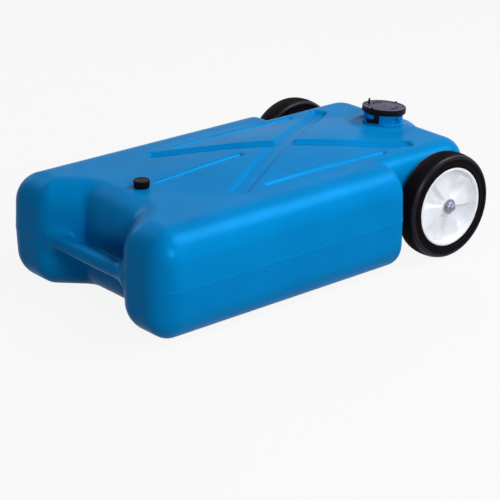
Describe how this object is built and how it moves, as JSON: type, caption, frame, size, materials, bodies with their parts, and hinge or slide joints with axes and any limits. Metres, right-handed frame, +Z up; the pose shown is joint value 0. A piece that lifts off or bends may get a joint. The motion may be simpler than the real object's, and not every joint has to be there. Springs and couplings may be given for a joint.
{
  "type": "portable waste water tank",
  "caption": "Low blow-moulded plastic tank that lies flat and rolls on wheels, with a handle bar across its end, a large bayonet drain cap and a small screw vent cap.",
  "frame": {"origin": "middle of the tank's length and width, on the ground it lies and rolls on", "axes": "+X along the tank from the handle bar to the wheels, +Y to the right-hand wheel, +Z up"},
  "size_m": [0.794, 0.4874, 0.2458],
  "materials": {
    "tank": "satin polyethylene",
    "cap": "satin",
    "seal": "matt",
    "steel": "zinc plated",
    "tyre": "solid rubber, ribbed tread",
    "hub": "semi-gloss white",
    "bush": "natural nylon"
  },
  "bodies": {
    "tank": {"tank_shell": "tank", "axle": "steel", "left_outer_washer": "steel", "left_inner_washer": "steel", "left_axle_nut": "steel", "right_outer_washer": "steel", "right_inner_washer": "steel", "right_axle_nut": "steel"},
    "left_wheel": {"left_tyre": "tyre", "left_wheel_hub": "hub", "left_outer_bush": "bush", "left_inner_bush": "bush"},
    "right_wheel": {"right_tyre": "tyre", "right_wheel_hub": "hub", "right_outer_bush": "bush", "right_inner_bush": "bush"},
    "vent_seal": {"vent_cap_gasket": "seal"},
    "vent_cap": {"vent_cap": "cap"},
    "drain_seal": {"drain_cap_gasket": "seal"},
    "drain_cap": {"drain_cap": "cap"}
  },
  "joints": [
    {"name": "left_wheel_spin", "type": "hinge", "parent": "tank", "child": "left_wheel", "pos_m": [0.286, -0.215, 0.1016], "axis": [0, 1, 0], "continuous": true},
    {"name": "right_wheel_spin", "type": "hinge", "parent": "tank", "child": "right_wheel", "pos_m": [0.286, 0.215, 0.1016], "axis": [0, 1, 0], "continuous": true},
    {"name": "vent_cap_lift", "type": "slide", "parent": "tank", "child": "vent_seal", "axis": [0, 0, 1], "range_m": [0, 0.01]},
    {"name": "vent_cap_turn", "type": "hinge", "parent": "vent_seal", "child": "vent_cap", "pos_m": [-0.2575, 0, 0.2039], "axis": [0, 0, 1], "range_deg": [0, 900]},
    {"name": "drain_cap_lift", "type": "slide", "parent": "tank", "child": "drain_seal", "axis": [0.0958, 0, 0.9954], "range_m": [0, 0.0015]},
    {"name": "drain_cap_turn", "type": "hinge", "parent": "drain_seal", "child": "drain_cap", "pos_m": [0.333, 0, 0.1997], "axis": [0.0958, 0, 0.9954], "range_deg": [0, 45]}
  ],
  "couplings": [
    {"joint": "vent_cap_lift", "follows": "vent_cap_turn", "m_per_rad": 0.0006366},
    {"joint": "drain_cap_lift", "follows": "drain_cap_turn", "m_per_rad": 0.0019098}
  ]
}
